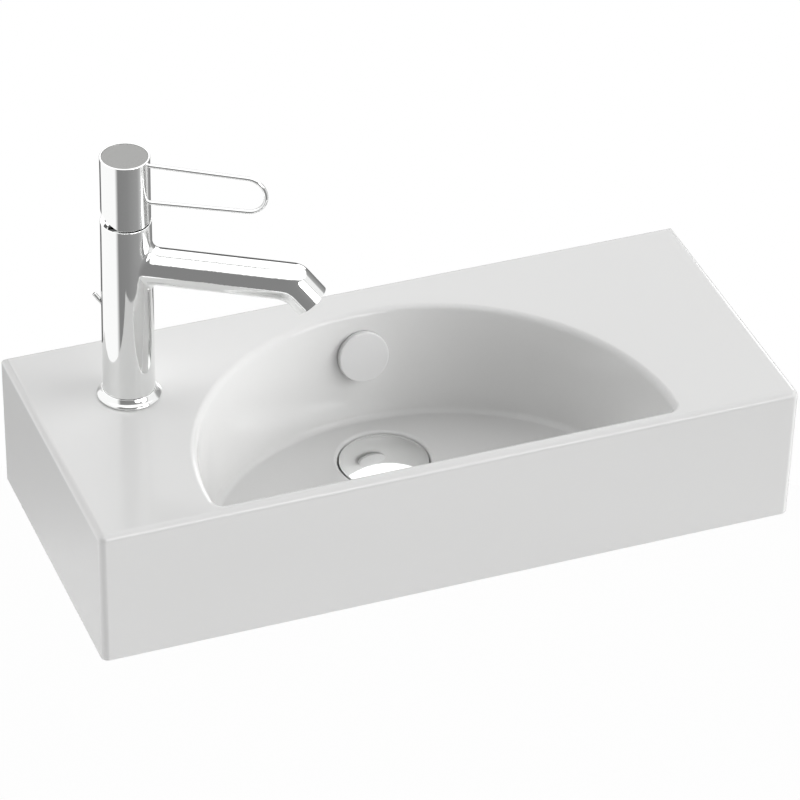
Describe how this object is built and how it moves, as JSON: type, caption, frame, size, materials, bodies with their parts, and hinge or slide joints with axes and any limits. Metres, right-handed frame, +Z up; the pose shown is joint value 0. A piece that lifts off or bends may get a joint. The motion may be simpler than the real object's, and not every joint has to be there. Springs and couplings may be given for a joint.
{
  "type": "wall hung basin",
  "caption": "Shallow rectangular wall hung basin with a D-shaped bowl, overflow, pop-up waste and a single-lever mixer with a wire loop handle.",
  "frame": {"origin": "on the wall face, midway between the two fixing holes", "axes": "+X along the wall to the right as seen from the front, +Y into the wall, +Z up"},
  "size_m": [0.5, 0.2199, 0.3762],
  "materials": {
    "ceramic": "gloss",
    "chrome": "polished",
    "satin": "satin",
    "brass": "machined",
    "steel": "brushed",
    "rubber": "matt",
    "white_plastic": "gloss",
    "grey_plastic": "matt",
    "disc_ceramic": "ground"
  },
  "bodies": {
    "fixture": {"basin": "ceramic", "overflow_cover": "white_plastic", "overflow_insert": "grey_plastic", "waste_flange": "chrome", "waste_gasket": "rubber", "waste_lower_seal": "rubber", "waste_washer": "grey_plastic", "waste_locknut": "brass", "waste_body": "chrome", "ball_seat": "grey_plastic", "ball_nut": "chrome", "tail_pipe": "chrome", "tap_body": "chrome", "base_ring": "chrome", "base_seal": "rubber", "mount_gasket": "rubber", "mount_plate": "steel", "mount_stud": "steel", "stud_nut": "brass", "aerator_housing": "chrome", "aerator_insert": "grey_plastic", "aerator_seal": "rubber", "cartridge_seal": "rubber", "cartridge_housing": "grey_plastic", "fixed_disc": "disc_ceramic", "cartridge_nut": "chrome"},
    "turret": {"turret": "grey_plastic", "pivot_pin": "steel"},
    "mixing_disc": {"moving_disc": "disc_ceramic", "disc_carrier": "grey_plastic"},
    "handle": {"lever_spindle": "steel", "handle_head": "chrome", "head_cap": "satin", "loop_handle": "chrome", "grub_screw": "steel"},
    "lift": {"link_strap": "steel", "strap_clamp": "brass", "clamp_screw": "brass", "lift_rod": "steel", "pull_pin": "chrome"},
    "ball_lever": {"ball_rod": "steel", "pivot_ball": "grey_plastic", "rod_clips": "steel"},
    "plug": {"plug_cap": "chrome", "plug_core": "grey_plastic", "plug_seal": "rubber", "plug_stem": "brass", "stem_nut": "brass"}
  },
  "joints": [
    {"name": "temperature_swivel", "type": "hinge", "parent": "fixture", "child": "turret", "pos_m": [-0.1805, -0.069, 0.18], "axis": [0, 0, 1], "range_deg": [-50, 50]},
    {"name": "lever_tilt", "type": "hinge", "parent": "turret", "child": "handle", "pos_m": [-0.1805, -0.069, 0.18], "axis": [-0.515, -0.8572, 0], "range_deg": [0, 22]},
    {"name": "disc_slide", "type": "slide", "parent": "turret", "child": "mixing_disc", "axis": [0.8572, -0.515, 0], "range_m": [0, 0.00423]},
    {"name": "lift_rod_slide", "type": "slide", "parent": "fixture", "child": "lift", "axis": [0, 0, 1], "range_m": [-0.02795, 0]},
    {"name": "ball_lever_tilt", "type": "hinge", "parent": "fixture", "child": "ball_lever", "pos_m": [-0.03721, -0.08726, -0.103], "axis": [0.1511, 0.9885, 0], "range_deg": [-10.96, 0]},
    {"name": "plug_slide", "type": "slide", "parent": "fixture", "child": "plug", "axis": [0, 0, 1], "range_m": [0, 0.00652]}
  ],
  "couplings": [
    {"joint": "disc_slide", "follows": "lever_tilt", "m_per_rad": 0.011},
    {"joint": "ball_lever_tilt", "follows": "lift_rod_slide", "rad_per_m": 6.8403},
    {"joint": "plug_slide", "follows": "lift_rod_slide", "ratio": -0.23257}
  ]
}
